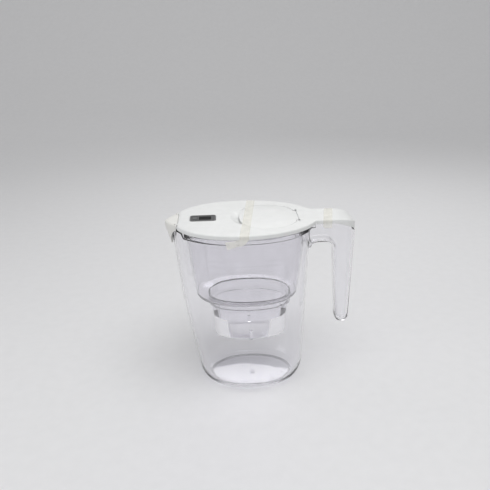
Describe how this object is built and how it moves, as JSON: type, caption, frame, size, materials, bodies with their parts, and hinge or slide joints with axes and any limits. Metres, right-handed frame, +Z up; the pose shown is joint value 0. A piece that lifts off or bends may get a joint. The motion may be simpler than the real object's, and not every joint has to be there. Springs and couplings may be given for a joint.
{
  "type": "water filter pitcher",
  "caption": "Clear family-size water pitcher with a lift-out filter hopper, white lid with fill flap, hinged spout flap and a filter-change indicator.",
  "frame": {"origin": "centre of the outer box in X and Y, on the table plane under the foot ring", "axes": "+Z up, +X from the spout to the handle, +Y to the left of someone who looks from the spout to the handle; the part is symmetric about Y = 0"},
  "size_m": [0.2588, 0.1426, 0.2523],
  "materials": {
    "jug_clear": "clear moulded plastic, faint lavender tint",
    "hopper_clear": "clear moulded plastic, slightly more tinted than the jug",
    "lid_white": "white moulded plastic, satin gloss",
    "cap_white": "warm white moulded plastic, satin gloss",
    "bezel_grey": "grey moulded plastic, fine matte",
    "window_smoke": "clear smoked plastic, polished",
    "button_grey": "soft grey key rubber, matte",
    "lcd_dark": "dark display glass, unlit and blank",
    "contact_metal": "nickel-plated spring steel",
    "strip_black": "conductive elastomer",
    "board_green": "solder-masked laminate",
    "cell_steel": "bright steel can",
    "seal_rubber": "black rubber ring",
    "case_white": "off-white moulded plastic"
  },
  "bodies": {
    "jug": {"jug": "jug_clear"},
    "hopper": {"hopper": "hopper_clear"},
    "lid": {"lid": "lid_white", "indicator_bezel": "bezel_grey", "indicator_window": "window_smoke", "switch_dome": "contact_metal", "lcd_panel": "lcd_dark", "contact_strips": "strip_black", "circuit_board": "board_green", "cell_clip_upper": "contact_metal", "coin_cell": "cell_steel", "cell_clip_lower": "contact_metal", "case_seal": "seal_rubber", "indicator_case": "case_white"},
    "fill_flap": {"fill_flap": "lid_white"},
    "spout_flap": {"spout_flap": "cap_white"},
    "start_button": {"start_button": "button_grey"}
  },
  "joints": [
    {"name": "hopper_lift", "type": "slide", "parent": "jug", "child": "hopper", "axis": [0, 0, 1], "range_m": [0, 0.2]},
    {"name": "lid_lift", "type": "slide", "parent": "hopper", "child": "lid", "axis": [0, 0, 1], "range_m": [0, 0.06]},
    {"name": "fill_flap_hinge", "type": "hinge", "parent": "lid", "child": "fill_flap", "pos_m": [0.04905, 0, 0.24955], "axis": [0, 1, 0], "range_deg": [0, 100]},
    {"name": "spout_flap_hinge", "type": "hinge", "parent": "lid", "child": "spout_flap", "pos_m": [-0.11295, 0, 0.24935], "axis": [0, 1, 0], "range_deg": [0, 70]},
    {"name": "start_button_press", "type": "slide", "parent": "lid", "child": "start_button", "axis": [0, 0, -1], "range_m": [0, 0.0005], "stiffness_N_per_m": 600}
  ]
}
